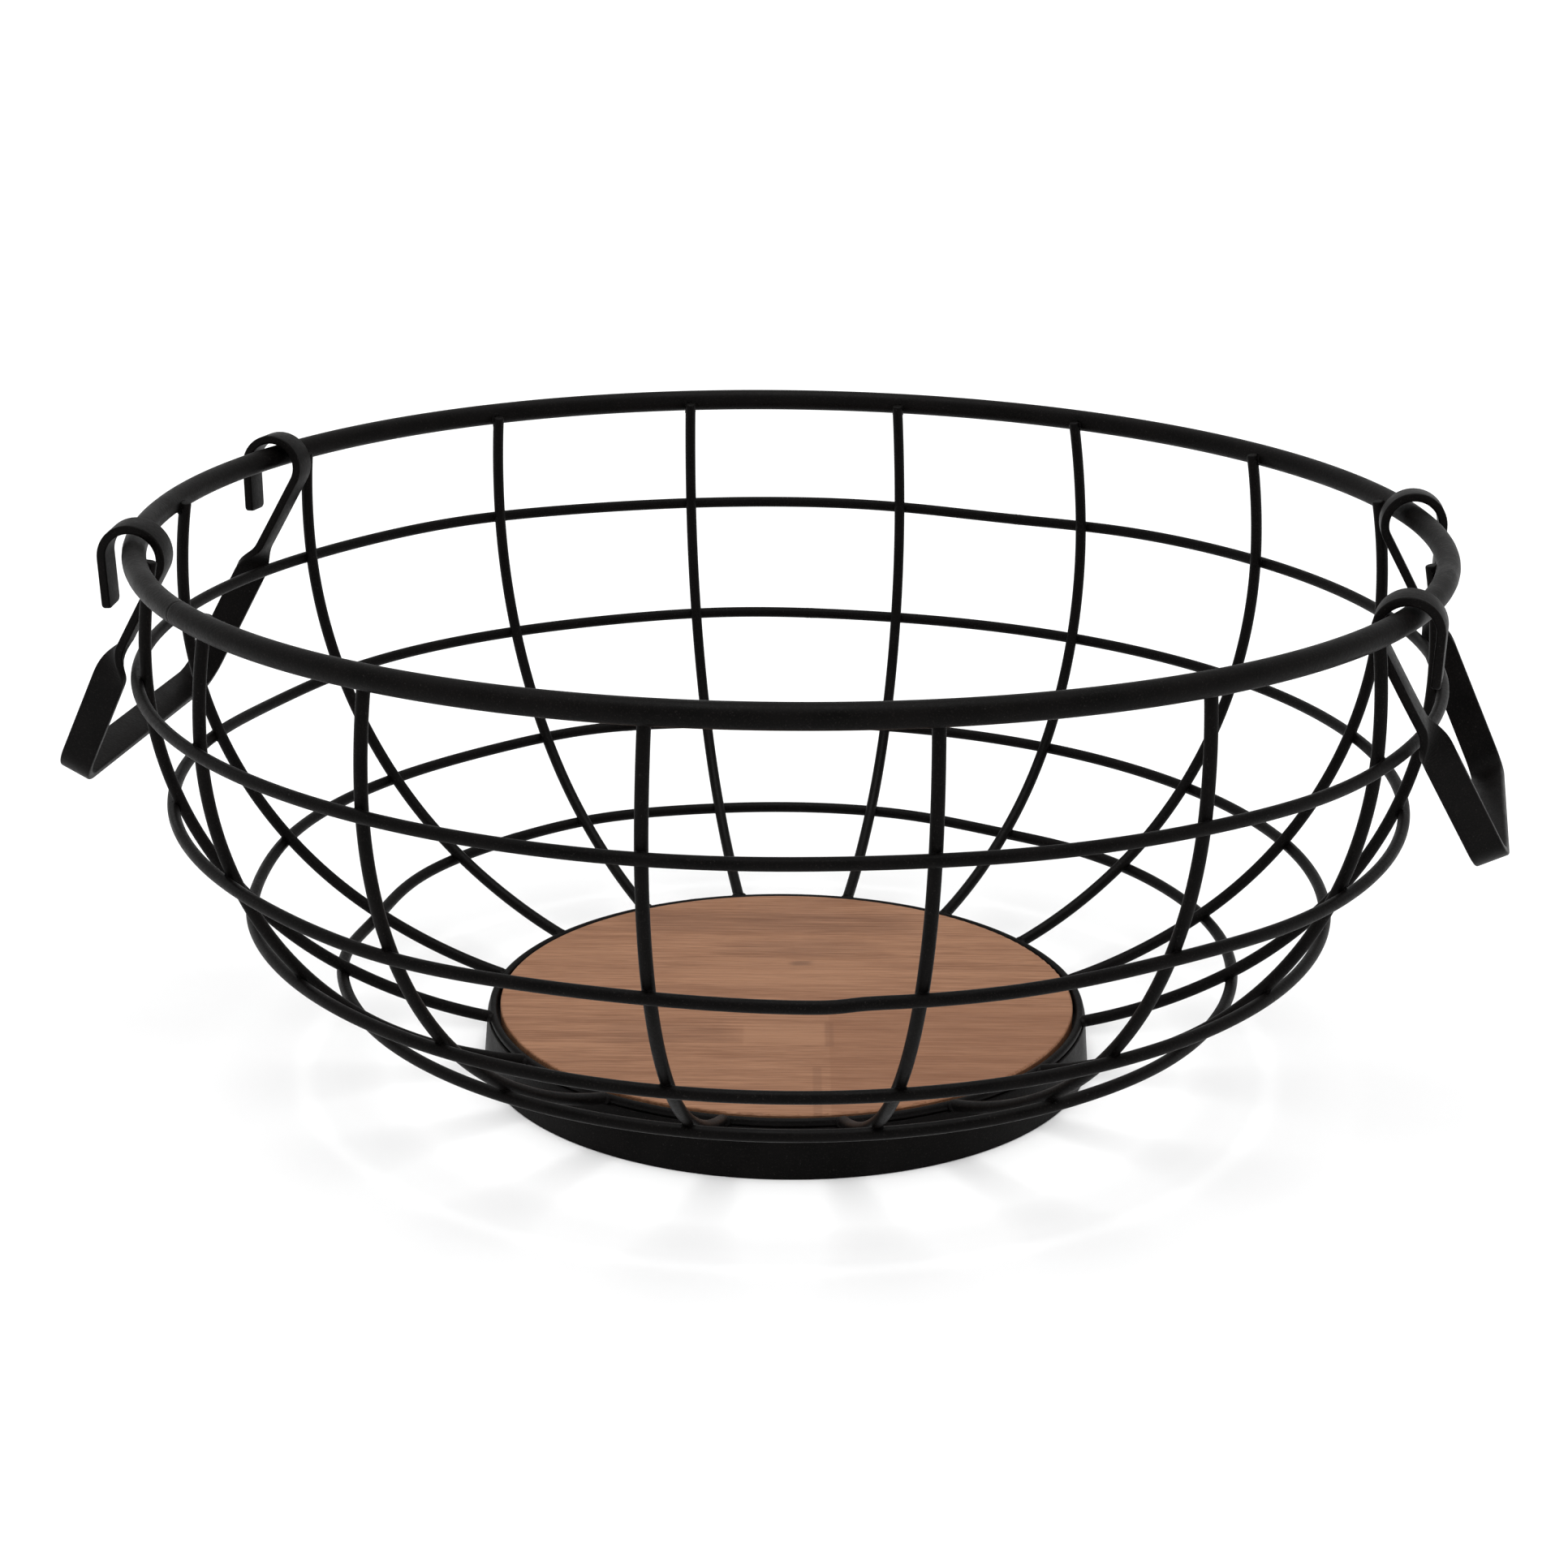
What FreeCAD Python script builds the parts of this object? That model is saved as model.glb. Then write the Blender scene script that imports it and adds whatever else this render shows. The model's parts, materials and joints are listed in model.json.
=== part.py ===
"""Wire produce basket: an open bowl of welded wire on a sheet metal foot, with a wood base.

Units are millimetres. The origin is on the floor at the middle of the foot, +Z is up and
+X runs through the middle of one carry handle.
"""
import FreeCAD
import Part
import os
from math import acos, asin, atan, cos, degrees, radians, sin, sqrt, tan

V = FreeCAD.Vector
UP = V(0, 0, 1)

# Driving dimensions -------------------------------------------------------------------------

# Round wire stock
rim_wire = 5.4
thin_wire = 2.8
base_ring_wire = 2.0
weld_set_down = 0.5          # how far two thin wires sink into each other at a weld

# Rim
rim_outside = 300.2
rim_height = 129.2           # centre of the rim wire above the floor

# Bowl profile, along the centre line of a rib
belly_radius = 146.05        # widest point of the ribs
belly_height = 104.4
upper_bend = 130.0           # radius of the rib's arc above the belly
lower_bend = 91.0            # radius of the rib's arc below the belly
rib_top_height = 129.5
foot_bend = 123.5            # radius of the flatter arc that runs in to the base
foot_bend_start = 57.4       # where that arc begins, in degrees below the belly
rib_end_radius = 71.0        # each rib ends against the base ring, on top of the foot band

# The ribs are welded in by hand, so each sits a little off its even place: how far it is turned
# round the basket and how far its top leans round the basket from its foot, both in degrees,
# anticlockwise seen from above.
ribs_as_welded = (
    (1.5, -2.5),
    (0.5, 1.5),
    (0.0, 2.0),
    (-1.0, 4.0),
    (-1.5, 1.5),
    (-1.0, 1.0),
    (-2.5, 2.0),
    (-2.2, 5.0),
    (-0.5, 4.5),
    (-1.0, 5.0),
    (-1.5, 2.0),
    (-1.0, 0.0),
    (0.0, 0.5),
    (-1.0, 1.0),
    (-2.0, 3.0),
    (-1.2, 2.0),
)
lean_height = 15.0           # height of the line about which a rib leans

# Hoops round the outside of the ribs, highest first
hoop_heights = (100.8, 70.4, 43.7, 25.9)

# Foot and base
foot_height = 11.9
foot_outside_bottom = 145.2
foot_outside_top = 143.2
foot_sheet = 1.2
base_ring_radius = 70.3
base_ring_height = 12.75
wood_radius = 68.6
wood_top = 14.0
wood_thickness = 5.0
wood_edge_round = 0.5

# Tabs and screws that hold the wood base from below
tab_count = 4
tab_first_angle = 45.0
tab_sheet = 1.2
tab_width_angle = 10.0
tab_inner_radius = 55.0
tab_flange_drop = 5.0
screw_radius_place = 60.0
screw_shank = 2.6
screw_length = 3.6
screw_head = 5.6
screw_head_height = 1.3

# Carry handles
handle_strip_width = 7.6
handle_strip_thickness = 2.0
handle_hook_angle = 18.8     # each hook sits this far round the rim from the handle's middle
hook_inner_radius = 5.7
hook_turn = 5.0              # the hooks turn a little towards the run of the rim
hook_drop = 2.0              # the hooks hang on the rim, so the hinge line is below its centre
hook_straight = 8.0          # flat run of the strip under the hook
hook_tail_turn = 31.0        # the loop goes on this far past its outermost point
hook_tail = 11.6             # straight free end of the hook
handle_lean = 29.2           # lean of the resting handle, out from straight down
handle_depth = 58.2          # hinge line to the middle of the grip bar
grip_corner = 7.0            # corner radius along the middle of the strip
leg_bend_end = 28.0          # by this far below the hinge line the legs slant inwards
back_bend = 25.0             # this far below the hinge line the strip bends back,
back_bend_run = 6.0          # over this length of it,
back_bend_turn = 2.6         # by this angle towards the basket
twist_start = 20.0           # the strip turns from flat to edge-on between these
twist_end = 31.0             # two distances below the hinge line
twist_sections = 13

# The two handles are bent by hand and differ a little: node, how far its middle is turned round
# the basket, and half the width of its grip if the corners were sharp.
handles = (
    ("handle_right", 0.0, 32.5),
    ("handle_left", 181.2, 41.5),
)

# Worked out from the driving dimensions --------------------------------------------------------

rim_radius = (rim_outside - rim_wire) / 2
wire_spacing = thin_wire - weld_set_down
rib_spacing = 360.0 / len(ribs_as_welded)
lower_centre_radius = belly_radius - lower_bend
upper_centre_radius = belly_radius - upper_bend
hinge_x = rim_radius * cos(radians(handle_hook_angle))
hook_y = rim_radius * sin(radians(handle_hook_angle))
hinge_z = rim_height - hook_drop
strip_offset = hook_inner_radius + handle_strip_thickness / 2


def save(name, shape):
    """Write one node as a STEP file."""
    if not shape.isValid():
        raise ValueError(name + " is not a valid solid")
    shape.exportStep("parts/%s.step" % name)
    print("%-14s solids %d  volume %.1f mm3" % (name, len(shape.Solids), shape.Volume))


def turned(shape, angle, axis=UP, about=V(0, 0, 0)):
    """A copy of a shape, turned about an axis by an angle in degrees."""
    copy = shape.copy()
    copy.rotate(about, axis, angle)
    return copy


def in_plane(radius, height):
    """A point of the bowl's profile, in the plane through +X."""
    return V(radius, 0, height)


# Wire bowl ------------------------------------------------------------------------------------

def wire_ring(radius, height, wire):
    """A closed ring of round wire."""
    return Part.makeTorus(radius, wire / 2, V(0, 0, height), UP)


def hoop_radius(height):
    """Radius of a hoop that lies against the outside of the ribs at this height."""
    reach = lower_bend + wire_spacing
    fall = belly_height - height
    return lower_centre_radius + sqrt(reach ** 2 - fall ** 2)


def arc_point(centre_radius, bend, below):
    """Point of an arc of the profile; below is its angle under the belly, in degrees."""
    turn = radians(below)
    return in_plane(centre_radius + bend * cos(turn), belly_height - bend * sin(turn))


def rib_path():
    """Centre line of one rib: three arcs from the rim down to the base ring."""
    above = -degrees(asin((rib_top_height - belly_height) / upper_bend))
    top = arc_point(upper_centre_radius, upper_bend, above)
    upper_middle = arc_point(upper_centre_radius, upper_bend, above / 2)
    belly = arc_point(upper_centre_radius, upper_bend, 0)
    lower_middle = arc_point(lower_centre_radius, lower_bend, foot_bend_start / 2)
    low = arc_point(lower_centre_radius, lower_bend, foot_bend_start)
    # The centre of the foot arc is in line with low and the centre of the arc before it.
    centre = arc_point(lower_centre_radius, lower_bend - foot_bend, foot_bend_start)
    end_below = degrees(acos((rib_end_radius - centre.x) / foot_bend))

    def foot_point(below):
        turn = radians(below)
        return centre + in_plane(foot_bend * cos(turn), -foot_bend * sin(turn))

    return Part.Wire([
        Part.Arc(top, upper_middle, belly).toShape(),
        Part.Arc(belly, lower_middle, low).toShape(),
        Part.Arc(low, foot_point((foot_bend_start + end_below) / 2), foot_point(end_below)).toShape(),
    ])


def rib():
    """One rib in the plane through +X."""
    path = rib_path()
    start = path.Edges[0]
    along = start.tangentAt(start.FirstParameter)
    section = Part.Wire([Part.makeCircle(thin_wire / 2, start.valueAt(start.FirstParameter), along)])
    return path.makePipeShell([section], True, False)


# Foot and wood base ----------------------------------------------------------------------------

def ring_of(points, angle=360.0, first_angle=0.0):
    """Turn a closed outline of (radius, height) points about the Z axis."""
    corners = [in_plane(radius, height) for radius, height in points]
    outline = Part.makePolygon(corners + corners[:1])
    solid = Part.Face(outline).revolve(V(0, 0, 0), UP, angle)
    return turned(solid, first_angle)


def foot_outside(height):
    """Outside radius of the foot band at a height."""
    bottom = foot_outside_bottom / 2
    top = foot_outside_top / 2
    return bottom + (top - bottom) * height / foot_height


def foot_band():
    """The sheet metal band that the basket stands on, a little wider at the floor."""
    return ring_of([
        (foot_outside(0), 0),
        (foot_outside(foot_height), foot_height),
        (foot_outside(foot_height) - foot_sheet, foot_height),
        (foot_outside(0) - foot_sheet, 0),
    ])


def screw_places():
    """Where the screws stand, and the angle of each support tab."""
    for number in range(tab_count):
        angle = tab_first_angle + number * 360.0 / tab_count
        place = V(screw_radius_place * cos(radians(angle)), screw_radius_place * sin(radians(angle)), 0)
        yield angle, place


def wood_base():
    """The wood disc, with its top edge eased and blind holes for the screws."""
    bottom = wood_top - wood_thickness
    disc = Part.makeCylinder(wood_radius, wood_thickness, V(0, 0, bottom))
    top_edge = [edge for edge in disc.Edges if edge.Closed and abs(edge.BoundBox.ZMin - wood_top) < 0.01]
    disc = disc.makeFillet(wood_edge_round, top_edge)
    for _, place in screw_places():
        depth = screw_length - tab_sheet
        disc = disc.cut(Part.makeCylinder(screw_shank / 2, depth, place + V(0, 0, bottom)))
    return disc


def support_tab(angle):
    """An L shaped tab: a shelf under the disc and a flange against the inside of the foot."""
    shelf_top = wood_top - wood_thickness
    shelf_bottom = shelf_top - tab_sheet
    flange_bottom = shelf_top - tab_flange_drop
    grip = 0.1               # the flange is welded this far into the band
    outer_high = foot_outside(shelf_top) - foot_sheet + grip
    outer_low = foot_outside(flange_bottom) - foot_sheet + grip
    tab = ring_of([
        (tab_inner_radius, shelf_top),
        (outer_high, shelf_top),
        (outer_low, flange_bottom),
        (outer_low - tab_sheet, flange_bottom),
        (outer_high - tab_sheet, shelf_bottom),
        (tab_inner_radius, shelf_bottom),
    ], tab_width_angle, angle - tab_width_angle / 2)
    turn = radians(angle)
    place = V(screw_radius_place * cos(turn), screw_radius_place * sin(turn), shelf_bottom)
    return tab.cut(Part.makeCylinder(screw_shank / 2, tab_sheet, place))


def base_screws():
    """Four short pan head screws, from below through the tabs into the disc."""
    under_tab = wood_top - wood_thickness - tab_sheet
    screws = []
    for _, place in screw_places():
        seat = place + V(0, 0, under_tab)
        shank = Part.makeCylinder(screw_shank / 2, screw_length, seat)
        head = Part.makeCylinder(screw_head / 2, screw_head_height, seat - V(0, 0, screw_head_height))
        low_edge = [edge for edge in head.Edges
                    if edge.Closed and edge.BoundBox.ZMax < seat.z - screw_head_height / 2]
        head = head.makeFillet(screw_head_height * 0.6, low_edge)
        slot_width = 0.8
        slot_depth = 0.7
        slot = Part.makeBox(screw_head, slot_width, slot_depth,
                            seat - V(screw_head / 2, slot_width / 2, screw_head_height))
        screws.append(shank.fuse(head.cut(slot)).removeSplitter())
    return Part.makeCompound(screws)


# Carry handles ------------------------------------------------------------------------------------
# A handle is built hanging straight down from the hinge line, which is the Y axis of its own
# frame: -Z runs down the handle and -X towards the basket. It is then leaned and moved out.

def leg_slope(half_width):
    """Sideways run of a handle's leg for each millimetre down, where it has bent inwards."""
    bend_middle = (hook_straight + leg_bend_end) / 2
    return (hook_y - half_width) / (handle_depth - bend_middle)


def bent_back(shape, share):
    """A shape turned back towards the basket, by a share of the whole bend."""
    return turned(shape, back_bend_turn * share, V(0, 1, 0), V(-strip_offset, 0, -back_bend))


def hook():
    """The curled end of the strip, about the hinge line, with its free tail."""
    width = handle_strip_width
    thickness = handle_strip_thickness
    across = V(0, 1, 0)
    sweep = 180 + hook_tail_turn
    corner = V(-hook_inner_radius - thickness, -width / 2, 0)
    end = Part.makePlane(thickness, width, corner, UP)
    loop = end.revolve(V(0, 0, 0), across, sweep)
    tail = turned(Part.makeBox(thickness, width, hook_tail, corner), sweep, across)
    run = Part.makeBox(thickness, width, hook_straight, corner - V(0, 0, hook_straight))
    return loop.fuse([tail, run])


def twist_section(below, half_width):
    """Outline of the strip at a distance below the hinge line, where it bends and twists."""
    bend_length = leg_bend_end - hook_straight
    bend = min((below - hook_straight) / bend_length, 1)
    leg = leg_slope(half_width)
    slope = leg * bend
    start_x = -strip_offset * cos(radians(hook_turn))
    start_y = hook_y - strip_offset * sin(radians(hook_turn))
    bend_end_y = hook_y - leg * bend_length / 2
    x = start_x + (-strip_offset - start_x) * bend
    # A parabola, upright at the hook and in line with the leg where the bend ends.
    y = start_y + (bend_end_y - start_y) * bend ** 2 - leg * max(below - leg_bend_end, 0)
    ease = min(max((below - twist_start) / (twist_end - twist_start), 0), 1)
    ease = ease * ease * (3 - 2 * ease)
    turn = radians(hook_turn + (90 - hook_turn) * ease)
    down = V(0, -slope, -1).normalize()
    level = V(0, 1, -slope).normalize()
    wide = level * cos(turn) - V(1, 0, 0) * sin(turn)
    thin = down.cross(wide)
    half_wide = wide * (handle_strip_width / 2)
    half_thin = thin * (handle_strip_thickness / 2)
    middle = V(x, y, -below)
    corners = [middle + half_wide + half_thin, middle - half_wide + half_thin,
               middle - half_wide - half_thin, middle + half_wide - half_thin]
    share = min(max((below - back_bend) / back_bend_run + 0.5, 0), 1)
    return bent_back(Part.makePolygon(corners + corners[:1]), share)


def twist(half_width):
    """The length of strip that turns a quarter turn between the hook and the leg."""
    step = (twist_end - hook_straight) / (twist_sections - 1)
    places = [hook_straight + number * step for number in range(twist_sections)]
    sections = [twist_section(below, half_width) for below in places]
    return Part.makeLoft(sections, True, False)


def leg_and_grip(half_width):
    """One leg below its twist, the rounded corner and half of the grip bar."""
    width = handle_strip_width
    thickness = handle_strip_thickness
    slant = degrees(atan(leg_slope(half_width)))
    corner_turn = 90 - slant
    trim = grip_corner * tan(radians(corner_turn / 2))
    corner_y = half_width - trim
    centre = V(-strip_offset, corner_y, grip_corner - handle_depth)
    low_corner = V(-strip_offset - width / 2, 0, -handle_depth - thickness / 2)
    bar = Part.makeBox(width, corner_y, thickness, low_corner)
    end = Part.Face(Part.makePolygon([
        low_corner + V(0, corner_y, 0),
        low_corner + V(width, corner_y, 0),
        low_corner + V(width, corner_y, thickness),
        low_corner + V(0, corner_y, thickness),
        low_corner + V(0, corner_y, 0),
    ]))
    bend = end.revolve(centre, V(1, 0, 0), corner_turn)
    length = (handle_depth - twist_end) / cos(radians(slant)) - trim
    leg = Part.makeBox(width, thickness, length,
                       centre + V(-width / 2, grip_corner - thickness / 2, 0))
    leg = turned(leg, -slant, V(1, 0, 0), centre)
    return bent_back(bar.fuse([bend, leg]), 1)


def handle(half_width):
    """A whole handle: one strip from tail to tail, hanging out beside the top hoop."""
    end = turned(hook(), hook_turn)
    end.translate(V(0, hook_y, 0))
    half = end.fuse([twist(half_width), leg_and_grip(half_width)])
    strip = half.fuse(half.mirror(V(0, 0, 0), V(0, 1, 0))).removeSplitter()
    strip = turned(strip, -handle_lean, V(0, 1, 0))
    strip.translate(V(hinge_x, 0, hinge_z))
    return strip


# All the nodes -------------------------------------------------------------------------------------

def main():
    os.makedirs("parts", exist_ok=True)
    save("rim_ring", wire_ring(rim_radius, rim_height, rim_wire))
    for number, height in enumerate(hoop_heights, 1):
        save("hoop_%d" % number, wire_ring(hoop_radius(height), height, thin_wire))
    upright_rib = rib()
    for number, (shift, lean) in enumerate(ribs_as_welded):
        leaning_rib = turned(upright_rib, -lean, V(1, 0, 0), V(0, 0, lean_height))
        save("rib_%02d" % (number + 1), turned(leaning_rib, number * rib_spacing + shift))
    save("base_ring", wire_ring(base_ring_radius, base_ring_height, base_ring_wire))
    save("foot_band", foot_band())
    save("wood_base", wood_base())
    for number, (angle, _) in enumerate(screw_places(), 1):
        save("support_tab_%d" % number, support_tab(angle))
    save("base_screws", base_screws())
    for name, turn, half_width in handles:
        save(name, turned(handle(half_width), turn))


main()
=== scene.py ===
"""Looks of the wire produce basket: coated wire with its welds, strip handles and a wood base."""
import json
import random
from functools import partial
from math import acos, asin, atan, atan2, cos, exp, pi, radians, sin, sqrt, tan

import bmesh
import bpy
from mathutils import Matrix, Vector


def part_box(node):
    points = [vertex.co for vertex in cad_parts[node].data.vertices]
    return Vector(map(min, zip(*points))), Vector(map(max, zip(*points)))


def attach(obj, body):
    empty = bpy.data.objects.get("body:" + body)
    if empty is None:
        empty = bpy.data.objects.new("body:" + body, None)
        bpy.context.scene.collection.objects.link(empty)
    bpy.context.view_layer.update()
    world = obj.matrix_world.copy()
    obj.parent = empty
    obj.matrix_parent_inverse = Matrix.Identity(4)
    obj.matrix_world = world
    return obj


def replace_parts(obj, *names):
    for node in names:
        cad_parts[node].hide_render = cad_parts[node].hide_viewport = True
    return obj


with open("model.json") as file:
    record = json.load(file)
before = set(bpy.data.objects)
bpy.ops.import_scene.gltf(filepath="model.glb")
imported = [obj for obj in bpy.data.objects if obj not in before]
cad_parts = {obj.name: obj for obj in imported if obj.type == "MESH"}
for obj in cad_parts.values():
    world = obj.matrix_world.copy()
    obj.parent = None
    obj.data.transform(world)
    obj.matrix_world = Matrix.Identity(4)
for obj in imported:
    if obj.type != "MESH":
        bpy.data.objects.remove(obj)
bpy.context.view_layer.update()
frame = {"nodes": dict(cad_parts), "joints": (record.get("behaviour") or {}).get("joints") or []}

mm = 0.001
UP = Vector((0, 0, 1))
AWAY = Vector((1, 0, 0))
ASIDE = Vector((0, 1, 0))

# Sizes ------------------------------------------------------------------------------------------
# Everything is in metres in the frame's axes. What the frame can tell is read from it; the rest
# repeats the driving dimensions of the CAD part.

rim_wire = 5.4 * mm
thin_wire = 2.8 * mm
base_ring_wire = 2.0 * mm
wire_end_round = 0.4 * mm
ring_slimming = 0.005           # rings are drawn this share thinner, so that their welds stay in bounds


def ring_place(node, wire):
    """Radius and height of the centre line of a ring of round wire."""
    low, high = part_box(node)
    return high.x - wire / 2, (low.z + high.z) / 2


rim_radius, rim_height = ring_place("rim_ring", rim_wire)
hoop_names = ["hoop_1", "hoop_2", "hoop_3", "hoop_4"]
hoop_places = [ring_place(name, thin_wire) for name in hoop_names]
base_ring_radius, base_ring_height = ring_place("base_ring", base_ring_wire)
rib_names = sorted(name for name in frame["nodes"] if name.startswith("rib_"))
rib_count = len(rib_names)
rib_turn = 2 * pi / rib_count

# Profile of a rib: an arc above the belly, an arc below it and a flatter arc in to the base ring
belly_radius = 146.05 * mm
belly_height = 104.4 * mm
upper_bend = 130.0 * mm
lower_bend = 91.0 * mm
rib_top_height = 129.5 * mm
foot_bend = 123.5 * mm
foot_bend_start = radians(57.4)
rib_end_radius = 71.0 * mm
lean_height = 15.0 * mm
wire_spacing = 2.3 * mm
upper_centre_radius = belly_radius - upper_bend
lower_centre_radius = belly_radius - lower_bend
foot_centre_radius = lower_centre_radius - (foot_bend - lower_bend) * cos(foot_bend_start)
foot_centre_height = belly_height + (foot_bend - lower_bend) * sin(foot_bend_start)

# How far each rib is turned from its even place, and how far its top leans round the basket,
# both in degrees and anticlockwise from above
ribs_as_welded = [
    (1.5, -2.5), (0.5, 1.5), (0.0, 2.0), (-1.0, 4.0), (-1.5, 1.5), (-1.0, 1.0), (-2.5, 2.0), (-2.2, 5.0),
    (-0.5, 4.5), (-1.0, 5.0), (-1.5, 2.0), (-1.0, 0.0), (0.0, 0.5), (-1.0, 1.0), (-2.0, 3.0), (-1.2, 2.0),
]

# The rings are not quite level: the rim is a slight saddle, and each hoop rises or sags in places,
# given as (turn in degrees, rise)
rim_saddle = 0.5 * mm
rim_saddle_turn = radians(120)
hoop_waves = [
    [(78, -1.2 * mm), (138, 0.6 * mm), (288, 0.4 * mm), (330, -0.8 * mm)],
    [(168, -1.1 * mm), (246, -1.2 * mm), (315, 1.4 * mm), (108, 0.5 * mm)],
    [(126, 0.9 * mm), (192, -0.8 * mm)],
    [(69, -0.6 * mm), (130, 0.4 * mm), (180, -1.3 * mm), (324, 0.9 * mm)],
]
wave_spread = radians(12)
kink_hoop = 1
kink_turn = radians(286)
kink_drop = 0.9 * mm
kink_run = radians(0.7)

# Butt welds of the rings: where each is, how far the wire swells there, and the groove across it
rim_joint = radians(223)
first_hoop_joint = 3.4 * rib_turn
base_ring_joint = 5.4 * rib_turn
rim_swell = 0.02
thin_swell = 0.05
swell_run = 0.9 * mm
groove_share = 0.05
groove_run = 0.3 * mm
rows_by_joint = (0, 0.3, 0.6, 0.9, 1.3, 1.9, 2.8)    # millimetres from the weld

# Welds between crossing wires, and the lumps where the ribs end on the foot
collar_waist = 0.22
collar_sunk = 0.04 * mm
hoop_collar_size = thin_wire * 0.54
rim_collar_size = thin_wire * 0.6
rim_collar_below_top = 1.6 * mm
foot_lump_out = 1.0 * mm
foot_lump_up = 0.1 * mm
foot_lump_sizes = (1.5 * mm, 2.0 * mm, 1.3 * mm)

# Foot band, read from its box; it narrows towards the top by its own slope
foot_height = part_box("foot_band")[1].z
foot_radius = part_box("foot_band")[1].x
foot_taper = 1.0 * mm
foot_sheet = 1.2 * mm
foot_edge_round = 0.35 * mm

# The grain of the wood runs along this turn, midway between two ribs
grain_turn = rib_turn / 2

# Carry handles: a flat strip, hooked over the rim at each end
handle_joints = {joint["child"]: joint for joint in frame["joints"]}
hook_y = sqrt(rim_radius ** 2 - handle_joints["right_handle"]["pos_m"][0] ** 2)
strip_width = 7.6 * mm
strip_thickness = 2.0 * mm
strip_edge_round = 0.45 * mm
hook_inner_radius = 5.7 * mm
hook_turn = radians(5.0)
hook_straight = 8.0 * mm
hook_sweep = radians(180 + 31)
hook_tail = 11.6 * mm
tail_corner_round = 1.2 * mm
tail_thinning = 0.3 * mm
handle_lean = radians(29.2)
handle_depth = 58.2 * mm
grip_half_widths = {"right": 32.5 * mm, "left": 41.5 * mm}
grip_corner = 7.0 * mm
leg_bend_end = 28.0 * mm
back_bend = 25.0 * mm
back_bend_run = 6.0 * mm
back_bend_turn = radians(2.6)
twist_start = 20.0 * mm
twist_end = 31.0 * mm
strip_offset = hook_inner_radius + strip_thickness / 2

# The camera looks midway between two ribs
view_turn = rib_turn / 2
view_elevation = radians(18.383)
view_distance = 722.5 * mm
view_target_side = -1.105 * mm
view_target_height = 67.55 * mm
view_roll = 0.009465
view_lens = 70.56


# Mesh tools -------------------------------------------------------------------------------------

class Skin:
    """The points and faces of one piece, gathered patch by patch."""

    def __init__(self):
        self.points = []
        self.faces = []

    def loft(self, rows, closed=False):
        """Quads between equal closed outlines; an open loft gets a flat face at each end."""
        first = len(self.points)
        count = len(rows[0])
        for row in rows:
            self.points.extend(row)
        spans = len(rows) if closed else len(rows) - 1
        for number in range(spans):
            low = first + number * count
            high = first + (number + 1) % len(rows) * count
            for k in range(count):
                after = (k + 1) % count
                self.faces.append((low + k, low + after, high + after, high + k))
        if not closed:
            last = first + (len(rows) - 1) * count
            self.faces.append(tuple(range(first + count - 1, first - 1, -1)))
            self.faces.append(tuple(range(last, last + count)))

    def make(self, name, material, body, slot, crease=40):
        """The finished piece, riding on a body; edges sharper than the crease stay sharp."""
        mesh = bpy.data.meshes.new(name)
        mesh.from_pydata(self.points, [], self.faces)
        work = bmesh.new()
        work.from_mesh(mesh)
        bmesh.ops.recalc_face_normals(work, faces=work.faces)
        work.to_mesh(mesh)
        work.free()
        mesh.shade_smooth()
        mesh.set_sharp_from_angle(angle=radians(crease))
        mesh.materials.append(material)
        piece = bpy.data.objects.new(name, mesh)
        bpy.context.scene.collection.objects.link(piece)
        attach(piece, body)
        return piece


def circle(radius, count=16):
    """A round outline."""
    return [(radius * cos(2 * pi * k / count), radius * sin(2 * pi * k / count)) for k in range(count)]


def rounded(corners, rounding, steps=4):
    """An outline with every corner rounded; corners are (a, b) points in order."""
    outline = []
    count = len(corners)
    for k in range(count):
        corner = Vector(corners[k])
        back = (Vector(corners[k - 1]) - corner).normalized()
        onward = (Vector(corners[(k + 1) % count]) - corner).normalized()
        half = back.angle(onward) / 2
        reach = rounding / tan(half)
        middle = corner + (back + onward).normalized() * (rounding / sin(half))
        start = corner + back * reach - middle
        end = corner + onward * reach - middle
        whole = start.angle(end)
        for step in range(steps + 1):
            share = step / steps
            mixed = start * sin(whole * (1 - share)) + end * sin(whole * share)
            outline.append(tuple(middle + mixed / sin(whole)))
    return outline


def placed(outline, middle, side, up):
    """An outline laid in space: its first number runs along side and its second along up."""
    return [middle + side * a + up * b for a, b in outline]


def wire_end(middle, along, side, up, radius):
    """Outlines that round off the end of a wire, from the full one to the flat end."""
    rows = []
    for degrees in (0, 25, 50, 75, 90):
        turn = radians(degrees)
        shrink = wire_end_round * (1 - cos(turn))
        forward = along * (wire_end_round * (sin(turn) - 1))
        rows.append(placed(circle(radius - shrink), middle + forward, side, up))
    return rows


def radial(turn):
    """The direction out from the basket's axis at this turn round it."""
    return Vector((cos(turn), sin(turn), 0))


# Wires ------------------------------------------------------------------------------------------

def ring_turns(radius, joint, steps):
    """Turns round a ring, from its butt weld back to it, close together beside the weld."""
    near = [offset * mm / radius for offset in rows_by_joint]
    far = near[-1]
    even = [far + (2 * pi - 2 * far) * k / steps for k in range(1, steps)]
    mirrored = [2 * pi - turn for turn in reversed(near[1:])]
    return [(joint + turn, min(turn, 2 * pi - turn) * radius) for turn in near + even + mirrored]


def ring_skin(line, radius, wire, joint, steps, swell):
    """A ring of round wire along a line round the basket; it swells a little at its butt weld."""
    skin = Skin()
    rows = []
    for turn, off in ring_turns(radius, joint, steps):
        groove = groove_share * exp(-(off / groove_run) ** 2)
        fat = 1 - ring_slimming + swell * exp(-(off / swell_run) ** 2) - groove
        rows.append(placed(circle(wire / 2 * fat, 24), line(turn), radial(turn), UP))
    skin.loft(rows, closed=True)
    return skin


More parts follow.
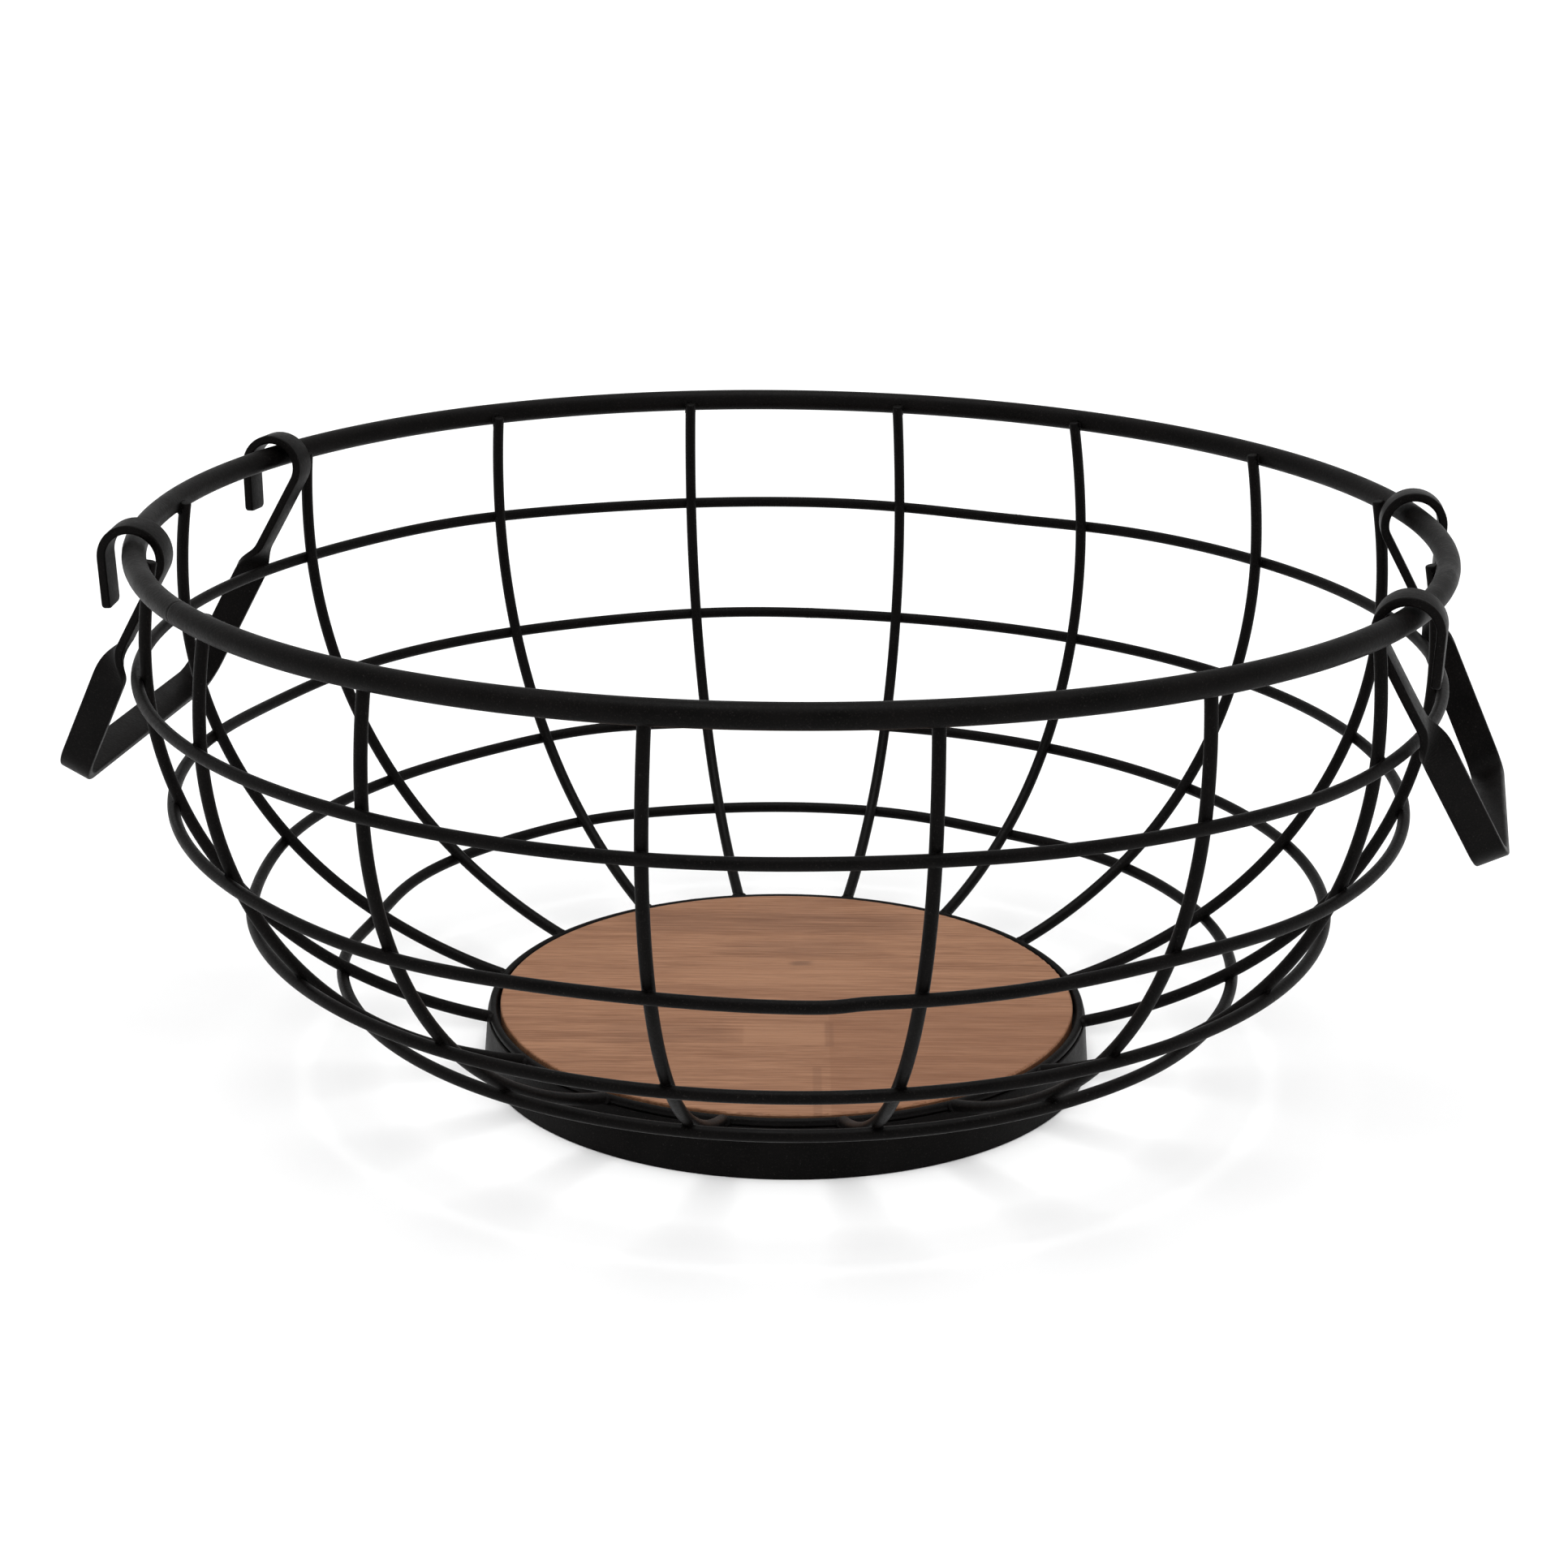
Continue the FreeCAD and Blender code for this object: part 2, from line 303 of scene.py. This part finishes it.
def rim_line(turn):
    """A point of the rim's centre line."""
    rise = rim_saddle * cos(2 * (turn - rim_saddle_turn))
    return radial(turn) * rim_radius + UP * (rim_height + rise)


def base_ring_line(turn):
    """A point of the base ring's centre line."""
    return radial(turn) * base_ring_radius + UP * base_ring_height


def turn_between(turn, other):
    """The turn from another turn to this one, the short way round."""
    return (turn - other + pi) % (2 * pi) - pi


def hoop_rise(number, turn):
    """How far a hoop stands above its even height at this turn."""
    rise = 0
    for place, height in hoop_waves[number]:
        rise += height * exp(-(turn_between(turn, radians(place)) / wave_spread) ** 2)
    if number == kink_hoop:
        past = turn_between(turn, kink_turn)
        rise -= kink_drop * exp(-(past / wave_spread) ** 2) / (1 + exp(past / kink_run))
    return rise


def hoop_line(number, turn):
    """A point of a hoop's centre line, which lies against the outside of the ribs."""
    height = hoop_places[number][1] + hoop_rise(number, turn)
    reach = lower_bend + wire_spacing
    radius = lower_centre_radius + sqrt(reach ** 2 - (belly_height - height) ** 2)
    return radial(turn) * radius + UP * height


def rib_point(fall):
    """A point of the long lower arc of an upright rib in the plane of +X."""
    return Vector((lower_centre_radius + lower_bend * cos(fall), 0, belly_height - lower_bend * sin(fall)))


def rib_line():
    """A rib's centre line from the top down, in the plane of +X, as (radius, height, fall)."""
    upper_steps = 16
    lower_steps = 48
    foot_steps = 16
    top_fall = -asin((rib_top_height - belly_height) / upper_bend)
    end_fall = acos((rib_end_radius - foot_centre_radius) / foot_bend)
    line = []
    for k in range(upper_steps):
        fall = top_fall * (1 - k / upper_steps)
        radius = upper_centre_radius + upper_bend * cos(fall)
        line.append((radius, belly_height - upper_bend * sin(fall), fall))
    for k in range(lower_steps):
        fall = foot_bend_start * k / lower_steps
        point = rib_point(fall)
        line.append((point.x, point.z, fall))
    for k in range(foot_steps + 1):
        fall = foot_bend_start + (end_fall - foot_bend_start) * k / foot_steps
        radius = foot_centre_radius + foot_bend * cos(fall)
        line.append((radius, foot_centre_height - foot_bend * sin(fall), fall))
    return line


def rib_frame(number):
    """The move that takes an upright rib in the plane of +X to a rib's place."""
    shift, lean = ribs_as_welded[number]
    pivot = Matrix.Translation((0, 0, lean_height))
    leaning = pivot @ Matrix.Rotation(radians(-lean), 4, "X") @ pivot.inverted()
    return Matrix.Rotation(number * rib_turn + radians(shift), 4, "Z") @ leaning


def rib_skin(number):
    """One rib, with rounded ends."""
    body_rows = []
    for radius, height, fall in rib_line():
        up = AWAY * cos(fall) - UP * sin(fall)
        body_rows.append((AWAY * radius + UP * height, up, -AWAY * sin(fall) - UP * cos(fall)))
    rows = [placed(circle(thin_wire / 2), middle, ASIDE, up) for middle, up, _ in body_rows[1:-1]]
    top, top_up, top_down = body_rows[0]
    foot, foot_up, foot_down = body_rows[-1]
    first = list(reversed(wire_end(top, -top_down, ASIDE, top_up, thin_wire / 2)))
    last = wire_end(foot, foot_down, ASIDE, foot_up, thin_wire / 2)
    place = rib_frame(number)
    skin = Skin()
    skin.loft([[place @ point for point in row] for row in first + rows + last])
    return skin


# Welds ------------------------------------------------------------------------------------------

def weld_collar(skin, low_middle, high_middle, along_low, low_radius, high_radius, size):
    """The metal between two crossed wires: a waisted collar from the lower wire to the upper.

    along_low runs along the lower wire, and the upper wire runs across it.
    """
    middle = (low_middle + high_middle) / 2
    out = (high_middle - low_middle).normalized()
    spacing = (high_middle - low_middle).length
    across = out.cross(along_low).normalized()
    along = across.cross(out)
    rows = []
    levels = 6
    for level in range(levels + 1):
        share = level / levels
        waist = 1 - collar_waist * sin(pi * share)
        row = []
        for k in range(24):
            turn = 2 * pi * k / 24
            reach = size * (0.78 + 0.36 * sin(2 * turn) ** 2)
            wide = reach * sin(turn)
            long = reach * cos(turn)
            low = -spacing / 2 + sqrt(max(low_radius ** 2 - wide ** 2, 0))
            high = spacing / 2 - sqrt(max(high_radius ** 2 - long ** 2, 0))
            lift = (low - collar_sunk) * (1 - share) + (high + collar_sunk) * share
            row.append(middle + across * wide * waist + along * long * waist + out * lift)
        rows.append(row)
    skin.loft(rows)


def hoop_welds(hoop):
    """The collars between one hoop and all the ribs."""
    skin = Skin()
    for number in range(rib_count):
        place = rib_frame(number)
        turn = atan2(place[1][0], place[0][0])
        height = hoop_line(hoop, turn).z
        # The rib leans, so it reaches this height a little further along its arc.
        upright_height = lean_height + (height - lean_height) / cos(radians(ribs_as_welded[number][1]))
        fall = asin((belly_height - upright_height) / (lower_bend + wire_spacing))
        rib_middle = place @ rib_point(fall)
        hoop_middle = hoop_line(hoop, atan2(rib_middle.y, rib_middle.x))
        along = place.to_3x3() @ Vector((sin(fall), 0, cos(fall)))
        weld_collar(skin, rib_middle, hoop_middle, along, thin_wire / 2, thin_wire / 2, hoop_collar_size)
    return skin


def rim_welds():
    """The collars between the tops of the ribs and the inside of the rim."""
    height = rib_top_height - rim_collar_below_top
    fall = asin((height - belly_height) / upper_bend)
    upright = Vector((upper_centre_radius + upper_bend * cos(fall), 0, height))
    skin = Skin()
    for number in range(rib_count):
        place = rib_frame(number)
        rib_middle = place @ upright
        rim_middle = rim_line(atan2(rib_middle.y, rib_middle.x))
        along = place.to_3x3() @ Vector((-sin(fall), 0, cos(fall)))
        weld_collar(skin, rib_middle, rim_middle, along, thin_wire / 2, rim_wire / 2, rim_collar_size)
    return skin


def bead(skin, middle, out, side, sizes, seed):
    """A small uneven lump of weld metal with half sizes along out, along side and up."""
    uneven = random.Random(seed)
    phase = [uneven.uniform(0, 2 * pi) for _ in range(3)]
    rows = []
    for level in range(1, 10):
        height = -cos(pi * level / 10)
        row = []
        for k in range(16):
            turn = 2 * pi * k / 16
            lump = 1 + 0.07 * sin(2 * turn + phase[0]) + 0.06 * sin(3 * turn + phase[1] + 2 * height)
            reach = sqrt(1 - height ** 2) * lump
            row.append(middle + out * (reach * cos(turn) * sizes[0]) + side * (reach * sin(turn) * sizes[1])
                       + UP * ((height + 0.05 * sin(turn + phase[2])) * sizes[2]))
        rows.append(row)
    skin.loft(rows)


def foot_welds():
    """The flared lumps where the ribs end against the base ring, on top of the foot band."""
    skin = Skin()
    for number in range(rib_count):
        place = rib_frame(number)
        out = place.to_3x3() @ AWAY
        side = UP.cross(out).normalized()
        middle = place @ Vector((base_ring_radius + foot_lump_out, 0, base_ring_height + foot_lump_up))
        bead(skin, middle, out, side, foot_lump_sizes, number)
    return skin


# Handles ----------------------------------------------------------------------------------------
# In a handle's own frame the hinge line is the Y axis, -Z runs down and -X towards the basket.
# Each place along the strip is its middle and the directions of its width and its thickness.

def hook_stations():
    """The free tail and the loop over the rim, from the tip inwards."""
    turned = Matrix.Rotation(hook_turn, 3, "Z")
    middle_line = ASIDE * hook_y
    stations = []

    def station(sweep, tail):
        outward = Vector((-cos(sweep), 0, sin(sweep)))
        onward = Vector((sin(sweep), 0, cos(sweep)))
        middle = outward * strip_offset + onward * tail
        stations.append((middle_line + turned @ middle, turned @ ASIDE, turned @ -outward))

    for share in (1, 0.75, 0.5, 0.25):
        station(hook_sweep, hook_tail * share)
    loop_steps = 36
    for k in range(loop_steps + 1):
        station(hook_sweep * (1 - k / loop_steps), 0)
    station(0, -hook_straight / 2)
    return stations


def leg_slope(half_width):
    """Sideways run of a handle's leg for each metre down, where it has bent inwards."""
    return (hook_y - half_width) / (handle_depth - (hook_straight + leg_bend_end) / 2)


def bent_back(station, share=1.0):
    """A place on the strip turned back towards the basket, by a share of the whole bend."""
    middle, wide, thin = station
    pivot = Vector((-strip_offset, 0, -back_bend))
    turned = Matrix.Rotation(back_bend_turn * share, 3, "Y")
    return pivot + turned @ (middle - pivot), turned @ wide, turned @ thin


def twist_station(below, half_width):
    """A place on the strip between the hook and the grip's corner."""
    leg = leg_slope(half_width)
    bend_length = leg_bend_end - hook_straight
    bend = min(max((below - hook_straight) / bend_length, 0), 1)
    slope = leg * bend
    start_x = -strip_offset * cos(hook_turn)
    start_y = hook_y - strip_offset * sin(hook_turn)
    bend_end_y = hook_y - leg * bend_length / 2
    x = start_x + (-strip_offset - start_x) * bend
    y = start_y + (bend_end_y - start_y) * bend ** 2 - leg * max(below - leg_bend_end, 0)
    ease = min(max((below - twist_start) / (twist_end - twist_start), 0), 1)
    ease = ease * ease * (3 - 2 * ease)
    turn = hook_turn + (pi / 2 - hook_turn) * ease
    down = Vector((0, -slope, -1)).normalized()
    level = Vector((0, 1, -slope)).normalized()
    wide = level * cos(turn) - AWAY * sin(turn)
    share = min(max((below - back_bend) / back_bend_run + 0.5, 0), 1)
    return bent_back((Vector((x, y, -below)), wide, down.cross(wide)), share)


def grip_stations(half_width):
    """The rounded corner of the grip and half of its bar."""
    corner_turn = pi / 2 - atan(leg_slope(half_width))
    trim = grip_corner * tan(corner_turn / 2)
    corner_y = half_width - trim
    centre = Vector((-strip_offset, corner_y, grip_corner - handle_depth))
    stations = []
    corner_steps = 12
    for k in range(corner_steps + 1):
        turn = corner_turn * (1 - k / corner_steps)
        outward = Vector((0, sin(turn), -cos(turn)))
        stations.append((centre + outward * grip_corner, -AWAY, outward))
    bar_steps = 6
    for k in range(1, bar_steps + 1):
        middle = Vector((-strip_offset, corner_y * (1 - k / bar_steps), -handle_depth))
        stations.append((middle, -AWAY, -UP))
    return [bent_back(station) for station in stations]


def strip_stations(half_width):
    """Half of a handle, from the tip of a hook to the middle of the grip bar."""
    stations = hook_stations()
    twist_steps = 30
    for k in range(twist_steps + 1):
        below = hook_straight + (twist_end - hook_straight) * k / twist_steps
        stations.append(twist_station(below, half_width))
    stations.append(twist_station((twist_end + handle_depth - grip_corner) / 2, half_width))
    return stations + grip_stations(half_width)


def strip_outline(narrow=0.0, thin=0.0):
    """The strip's section, less what its rounded end takes away."""
    wide = strip_width / 2 - narrow
    thick = strip_thickness / 2 - thin
    corners = [(wide, thick), (-wide, thick), (-wide, -thick), (wide, -thick)]
    return rounded(corners, min(strip_edge_round, thick * 0.8))


def mirrored(row):
    """An outline on the other side of the handle's middle plane."""
    return [Vector((point.x, -point.y, point.z)) for point in row]


def handle_skin(side):
    """A whole handle, leaning out at rest, on its own side of the basket."""
    hinge = Vector(handle_joints[side + "_handle"]["pos_m"])
    stations = strip_stations(grip_half_widths[side])
    tip, tip_wide, tip_thin = stations[0]
    onward = (tip - stations[1][0]).normalized()
    rows = []
    for degrees in (90, 65, 40, 20):
        turn = radians(degrees)
        back = tail_corner_round * (1 - sin(turn))
        outline = strip_outline(tail_corner_round * (1 - cos(turn)), tail_thinning * (1 - cos(turn)))
        rows.append(placed(outline, tip - onward * back, tip_wide, tip_thin))
    rows.append(placed(strip_outline(), tip - onward * tail_corner_round, tip_wide, tip_thin))
    for middle, wide, thin in stations[1:]:
        rows.append(placed(strip_outline(), middle, wide, thin))
    rows += [mirrored(row) for row in reversed(rows[:-1])]
    lean = Matrix.Rotation(-handle_lean, 4, "Y")
    place = Matrix.Translation(hinge) @ Matrix.Rotation(atan2(hinge.y, hinge.x), 4, "Z") @ lean
    skin = Skin()
    skin.loft([[place @ point for point in row] for row in rows])
    return skin


# Foot -------------------------------------------------------------------------------------------

def foot_skin():
    """The foot band, with its edges softened."""
    corners = [
        (foot_radius, 0),
        (foot_radius - foot_taper, foot_height),
        (foot_radius - foot_taper - foot_sheet, foot_height),
        (foot_radius - foot_sheet, 0),
    ]
    outline = rounded(corners, foot_edge_round)
    rows = []
    steps = 288
    for k in range(steps):
        rows.append(placed(outline, Vector((0, 0, 0)), radial(2 * pi * k / steps), UP))
    skin = Skin()
    skin.loft(rows, closed=True)
    return skin


# Materials --------------------------------------------------------------------------------------

class Shader:
    """Short calls for one material's nodes."""

    def __init__(self, name):
        self.material = bpy.data.materials.new(name)
        self.material.use_nodes = True
        self.nodes = self.material.node_tree.nodes
        self.surface = self.nodes["Principled BSDF"]

    def link(self, value, socket):
        """Set a socket to a value, or join another node's output to it."""
        if isinstance(value, bpy.types.NodeSocket):
            self.material.node_tree.links.new(value, socket)
        else:
            socket.default_value = value

    def math(self, operation, first, second=0.0, clamp=False):
        node = self.nodes.new("ShaderNodeMath")
        node.operation = operation
        node.use_clamp = clamp
        self.link(first, node.inputs[0])
        self.link(second, node.inputs[1])
        return node.outputs[0]

    def place(self, size, turn=0.0):
        """The place on the object, turned about Z and divided by a size along each axis."""
        coordinates = self.nodes.new("ShaderNodeTexCoord")
        turned = self.nodes.new("ShaderNodeMapping")
        turned.inputs["Rotation"].default_value = (0, 0, -turn)
        self.link(coordinates.outputs["Object"], turned.inputs["Vector"])
        scaled = self.nodes.new("ShaderNodeVectorMath")
        scaled.operation = "DIVIDE"
        self.link(turned.outputs["Vector"], scaled.inputs[0])
        scaled.inputs[1].default_value = size
        return scaled.outputs["Vector"]

    def noise(self, size, turn=0.0, detail=3.0, rough=0.5):
        """Noise from 0 to 1 with features of this size, in metres, along each axis."""
        node = self.nodes.new("ShaderNodeTexNoise")
        node.inputs["Scale"].default_value = 1.0
        node.inputs["Detail"].default_value = detail
        node.inputs["Roughness"].default_value = rough
        self.link(self.place(size, turn), node.inputs["Vector"])
        return node.outputs["Fac"]

    def spread(self, value, low, high, to_low=0.0, to_high=1.0):
        """Values from low to high stretched over another range, smoothly and held at its ends."""
        node = self.nodes.new("ShaderNodeMapRange")
        node.interpolation_type = "SMOOTHSTEP"
        self.link(value, node.inputs["Value"])
        ends = (("From Min", low), ("From Max", high), ("To Min", to_low), ("To Max", to_high))
        for name, number in ends:
            node.inputs[name].default_value = number
        return node.outputs["Result"]

    def mix(self, share, first, second):
        """A colour between two colours."""
        node = self.nodes.new("ShaderNodeMix")
        node.data_type = "RGBA"
        self.link(share, node.inputs["Factor"])
        self.link(first, node.inputs["A"])
        self.link(second, node.inputs["B"])
        return node.outputs["Result"]

    def bump(self, height, depth):
        """Raise the surface by a height of 0 to 1 times a depth in metres."""
        node = self.nodes.new("ShaderNodeBump")
        node.inputs["Strength"].default_value = 1.0
        node.inputs["Distance"].default_value = depth
        self.link(height, node.inputs["Height"])
        self.link(node.outputs["Normal"], self.surface.inputs["Normal"])

    def set(self, **inputs):
        """Set inputs of the surface; an underscore in a name stands for a space."""
        for name, value in inputs.items():
            self.link(value, self.surface.inputs[name.replace("_", " ")])


def even(size):
    """The same size along every axis."""
    return (size, size, size)


def powder_coat(name):
    """Satin black powder coat: fine orange peel, grain, faint clouding and a few pale specks."""
    shader = Shader(name)
    clouds = shader.noise(even(9 * mm), detail=4)
    peel = shader.noise(even(0.8 * mm), detail=2)
    grain = shader.noise(even(0.35 * mm), detail=2, rough=0.7)
    specks = shader.spread(shader.noise(even(0.5 * mm), detail=1), 0.70, 0.78)
    deep_black = (0.0011, 0.0009, 0.0008, 1)
    cloudy_black = (0.0028, 0.0023, 0.0022, 1)
    grain_colour = (0.0085, 0.0070, 0.0065, 1)
    speck_colour = (0.024, 0.022, 0.021, 1)
    black = shader.mix(shader.spread(clouds, 0.3, 0.7), deep_black, cloudy_black)
    black = shader.mix(shader.spread(grain, 0.55, 0.72), black, grain_colour)
    colour = shader.mix(shader.math("MULTIPLY", specks, 0.5), black, speck_colour)
    unevenness = shader.math("ADD", clouds, shader.math("MULTIPLY", peel, 0.6))
    rough = shader.spread(unevenness, 0.5, 1.1, 0.40, 0.54)
    height = shader.math("ADD", shader.math("MULTIPLY", peel, 0.6), shader.math("MULTIPLY", grain, 0.4))
    shader.set(Base_Color=colour, Roughness=rough, Specular_IOR_Level=0.05)
    shader.bump(height, 0.07 * mm)
    return shader.material


def wood(name):
    """Straight grained wood, jointed from strips, with darker streaks and a small knot."""
    shader = Shader(name)
    ripple = shader.math("SUBTRACT", shader.noise((14 * mm, 3 * mm, 3 * mm), grain_turn, detail=3), 0.5)
    parts = shader.nodes.new("ShaderNodeSeparateXYZ")
    shader.link(shader.place(even(mm), grain_turn), parts.inputs[0])
    along = parts.outputs["X"]
    across = shader.math("ADD", parts.outputs["Y"], shader.math("MULTIPLY", ripple, 7.0))

    def within(value, low, high, soft):
        """1 between two places, fading to 0 on both sides of them."""
        rise = shader.spread(value, low - soft, low + soft)
        return shader.math("MULTIPLY", rise, shader.spread(value, high - soft, high + soft, 1.0, 0.0))

    def patch(left, right, near, far, soft_ends, soft_sides):
        """1 inside one part of the disc, in millimetres along and across the grain."""
        lengthwise = within(along, left, right, soft_ends)
        return shader.math("MULTIPLY", lengthwise, within(across, near, far, soft_sides))

    streaks = shader.noise((26 * mm, 0.45 * mm, 0.45 * mm), grain_turn, detail=4, rough=0.65)
    bands = shader.noise((60 * mm, 4 * mm, 4 * mm), grain_turn, detail=3)
    pores = shader.noise((3.5 * mm, 0.2 * mm, 0.2 * mm), grain_turn, detail=1)
    fibres = shader.noise((9 * mm, 0.35 * mm, 0.35 * mm), grain_turn, detail=2, rough=0.6)
    tone = shader.math("ADD", shader.math("MULTIPLY", streaks, 0.45), shader.math("MULTIPLY", bands, 0.25))
    tone = shader.math("ADD", tone, shader.math("MULTIPLY", fibres, 0.30))
    pale = (0.292, 0.144, 0.076, 1)
    dark = (0.172, 0.074, 0.035, 1)
    colour = shader.mix(shader.spread(tone, 0.40, 0.61), pale, dark)
    darker = (0.125, 0.052, 0.025, 1)
    redder = (0.172, 0.069, 0.031, 1)
    lighter = (0.295, 0.148, 0.079, 1)
    knot_colour = (0.11, 0.05, 0.026, 1)
    pore_colour = (0.105, 0.048, 0.026, 1)
    # Dark streaky places, as (share, patch)
    streaky_places = (
        (0.75, patch(-39, 33, 42, 56, 9.0, 3.0)),
        (0.60, patch(-16, 21, 26, 36, 8.0, 3.0)),
        (0.55, patch(-42, -13, -29, -18, 4.0, 2.5)),
    )
    # Plain patches and the joints between strips, as (share, patch, colour)
    plain_places = (
        (0.35, patch(-20, 20, 6, 23, 7.0, 3.0), lighter),
        (0.45, patch(-10, 9, -30, -18, 0.6, 2.0), lighter),
        (0.35, patch(10, 90, -90, -6, 0.3, 2.0), redder),
        (0.30, patch(9, 11, -31, -17, 0.3, 1.0), darker),
        (0.30, patch(6, 8, -75, -43, 0.3, 1.0), darker),
    )
    streaked = shader.spread(streaks, 0.38, 0.60, 0.25, 1.0)
    for share, place in streaky_places:
        strength = shader.math("MULTIPLY", shader.math("MULTIPLY", place, share), streaked)
        colour = shader.mix(strength, colour, darker)
    for share, place, tint in plain_places:
        colour = shader.mix(shader.math("MULTIPLY", place, share), colour, tint)
    knot = patch(1, 6, 20, 22, 1.5, 0.8)
    colour = shader.mix(shader.math("MULTIPLY", knot, 0.6), colour, knot_colour)
    colour = shader.mix(shader.spread(pores, 0.62, 0.75, 0.0, 0.35), colour, pore_colour)
    rough = shader.spread(streaks, 0.3, 0.7, 0.5, 0.62)
    shader.set(Base_Color=colour, Roughness=rough, Specular_IOR_Level=0.2)
    shader.bump(shader.math("ADD", streaks, pores), 0.02 * mm)
    return shader.material


def zinc(name):
    """Bright zinc plating with fine turning marks and dull patches."""
    shader = Shader(name)
    dull = shader.noise(even(1.5 * mm), detail=3)
    marks = shader.noise((0.12 * mm, 0.12 * mm, 2 * mm), detail=1)
    colour = shader.mix(dull, (0.40, 0.41, 0.43, 1), (0.62, 0.61, 0.58, 1))
    shader.set(Base_Color=colour, Metallic=1.0, Roughness=shader.spread(dull, 0.3, 0.7, 0.25, 0.45))
    shader.bump(marks, 0.01 * mm)
    return shader.material


def floor_paint(name):
    """Plain near-white floor."""
    shader = Shader(name)
    tone = shader.noise(even(0.5), detail=2)
    shader.set(Base_Color=shader.mix(tone, (0.90, 0.90, 0.90, 1), (0.92, 0.92, 0.92, 1)),
               Roughness=0.9, Specular_IOR_Level=0.0)
    return shader.material


# Pieces -----------------------------------------------------------------------------------------

coat = powder_coat("powder_coat")


def make_rings():
    """Rim, hoops and base ring, each with its butt weld."""
    rim = ring_skin(rim_line, rim_radius, rim_wire, rim_joint, 384, rim_swell)
    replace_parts(rim.make("rim_wire", coat, "basket", "wire"), "rim_ring")
    for number, name in enumerate(hoop_names):
        joint = first_hoop_joint + number * rib_turn
        line = partial(hoop_line, number)
        hoop = ring_skin(line, hoop_places[number][0], thin_wire, joint, 480, thin_swell)
        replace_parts(hoop.make(name + "_wire", coat, "basket", "wire"), name)
        hoop_welds(number).make(name + "_welds", coat, "basket", "wire")
    rim_welds().make("rim_welds", coat, "basket", "wire")
    base = ring_skin(base_ring_line, base_ring_radius, base_ring_wire, base_ring_joint, 256, thin_swell)
    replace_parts(base.make("base_ring_wire", coat, "basket", "wire"), "base_ring")


def make_ribs():
    """All the ribs."""
    for number, name in enumerate(rib_names):
        piece = rib_skin(number).make(name + "_wire", coat, "basket", "wire")
        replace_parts(piece, name)
    foot_welds().make("foot_welds", coat, "basket", "wire")


def make_foot():
    """The foot band."""
    piece = foot_skin().make("foot_band_sheet", coat, "basket", "foot_sheet")
    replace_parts(piece, "foot_band")


def make_handles():
    """Both carry handles."""
    for side in ("right", "left"):
        piece = handle_skin(side).make("handle_%s_strip" % side, coat, side + "_handle", "handle_strip")
        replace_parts(piece, "handle_" + side)


def finish_frame_nodes():
    """Materials for the frame's own nodes that stay in view."""
    finishes = {"wood_base": wood("oiled_wood"), "base_screws": zinc("zinc_plating")}
    for name, node in frame["nodes"].items():
        if not node.hide_render:
            material = finishes.get(name, coat)
            node.data.materials.clear()
            node.data.materials.append(material)


# Studio -----------------------------------------------------------------------------------------

def make_floor():
    """A wide round floor under the basket."""
    mesh = bpy.data.meshes.new("floor")
    work = bmesh.new()
    bmesh.ops.create_circle(work, cap_ends=True, segments=96, radius=30.0)
    work.to_mesh(mesh)
    work.free()
    mesh.materials.append(floor_paint("white_floor"))
    floor = bpy.data.objects.new("floor", mesh)
    bpy.context.scene.collection.objects.link(floor)


def make_light():
    """White surroundings and one broad soft light from straight above."""
    world = bpy.data.worlds.new("studio")
    world.use_nodes = True
    background = world.node_tree.nodes["Background"]
    background.inputs["Color"].default_value = (1, 1, 1, 1)
    background.inputs["Strength"].default_value = 0.85
    bpy.context.scene.world = world
    lamp = bpy.data.lights.new("overhead", "SUN")
    lamp.energy = 1.7
    lamp.angle = radians(40)
    holder = bpy.data.objects.new("overhead", lamp)
    holder.location = (0, 0, 1.5)
    bpy.context.scene.collection.objects.link(holder)


def make_camera():
    """The camera, looking down into the bowl from between two ribs."""
    sideways = Vector((cos(view_turn), sin(view_turn), 0))
    toward = Vector((sin(view_turn), -cos(view_turn), 0))
    back = toward * cos(view_elevation) + UP * sin(view_elevation)
    level_up = back.cross(sideways)
    right = (sideways + level_up * view_roll).normalized()
    up = back.cross(right)
    target = sideways * view_target_side + UP * view_target_height
    data = bpy.data.cameras.new("camera")
    data.lens = view_lens
    data.clip_end = 100
    camera = bpy.data.objects.new("camera", data)
    turn = Matrix((right, up, back)).transposed().to_4x4()
    camera.matrix_world = Matrix.Translation(target + back * view_distance) @ turn
    bpy.context.scene.collection.objects.link(camera)
    bpy.context.scene.camera = camera
    bpy.context.scene.view_settings.view_transform = "Standard"


make_camera()
make_floor()
make_light()
make_rings()
make_ribs()
make_foot()
make_handles()
finish_frame_nodes()
